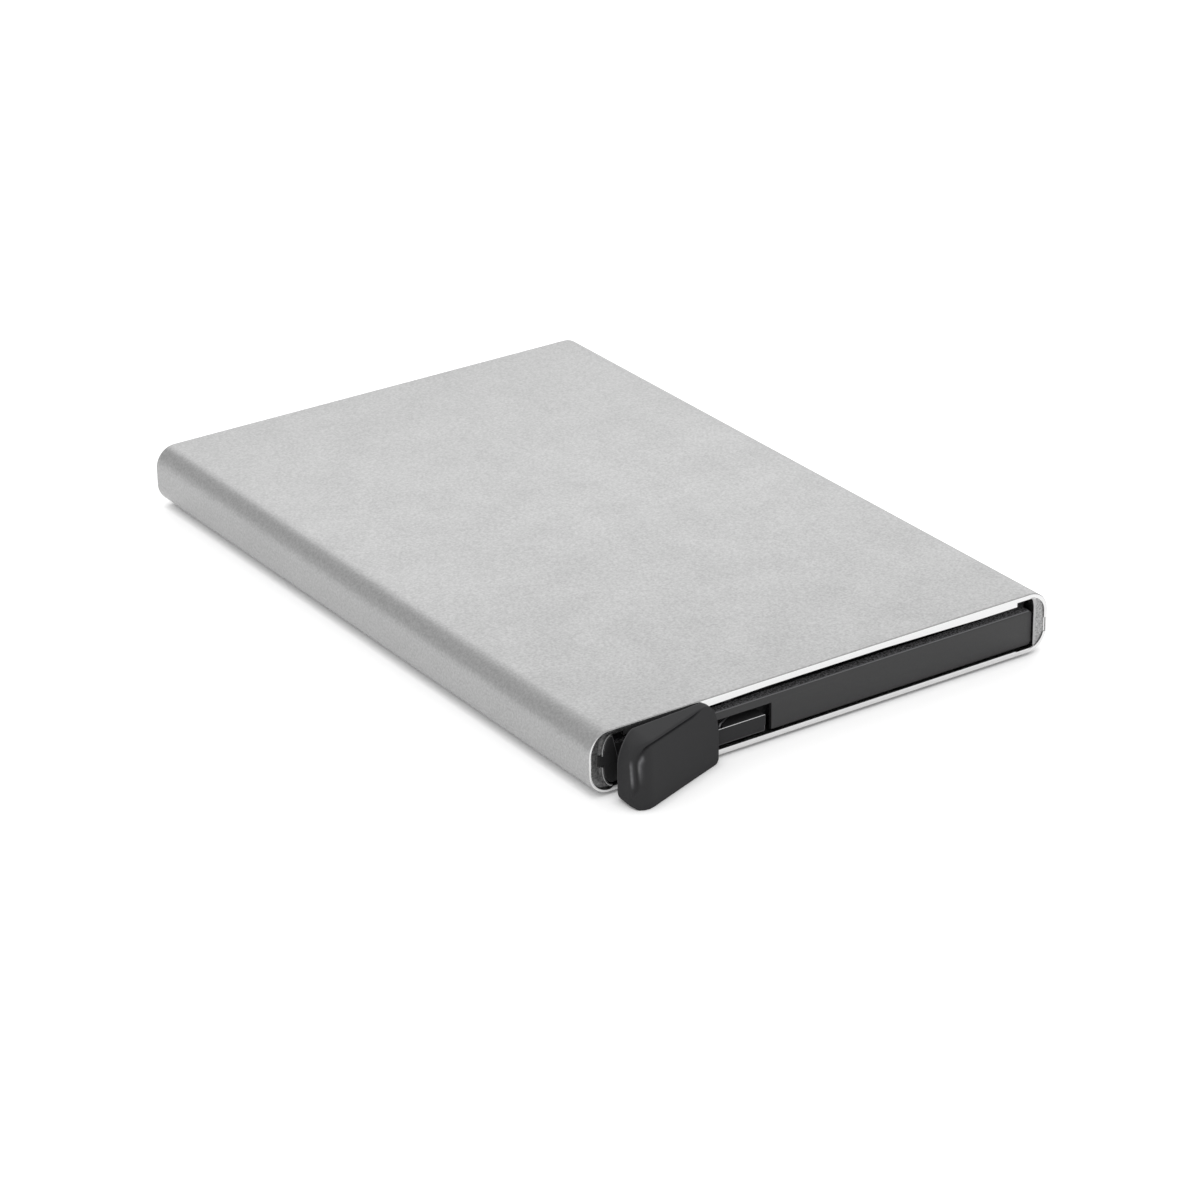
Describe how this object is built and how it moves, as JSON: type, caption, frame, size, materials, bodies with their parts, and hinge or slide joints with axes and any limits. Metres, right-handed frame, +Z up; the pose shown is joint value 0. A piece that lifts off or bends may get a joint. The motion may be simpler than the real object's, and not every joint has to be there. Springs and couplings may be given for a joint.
{
  "type": "card holder",
  "caption": "Slim aluminium card holder: an open-ended flat sleeve with a black base insert, whose corner thumb lever turns on a pin and fans the cards out of the mouth.",
  "frame": {"origin": "centre of the sleeve's flat underside", "axes": "+X across the sleeve, away from the lever's corner; +Y along the sleeve towards the card mouth; +Z up, through the broad faces"},
  "size_m": [0.063, 0.1002, 0.008],
  "materials": {
    "sleeve": "fine bead-blasted and clear anodised, with bright machined end edges",
    "base_frame": "black moulded plastic, satin",
    "base_cover": "black moulded plastic, satin",
    "trigger_lever": "black glass-filled plastic, satin",
    "pivot_pin": "bright drawn steel",
    "return_spring": "bright spring wire",
    "side_rails": "black moulded plastic, matt",
    "felt_strips": "black felt"
  },
  "bodies": {
    "case": {"sleeve": "sleeve", "base_frame": "base_frame", "base_cover": "base_cover", "pivot_pin": "pivot_pin", "return_spring": "return_spring", "side_rail_left": "side_rails", "side_rail_right": "side_rails", "felt_strip_left": "felt_strips", "felt_strip_right": "felt_strips"},
    "lever": {"trigger_lever": "trigger_lever"}
  },
  "joints": [
    {"name": "lever_pivot", "type": "hinge", "parent": "case", "child": "lever", "pos_m": [-0.011, -0.0434, 0.0037], "axis": [0, 0, 1], "range_deg": [0, 40], "stiffness_Nm_per_rad": 0.02, "springref_deg": -20.05, "deforming": ["return_spring"]}
  ]
}
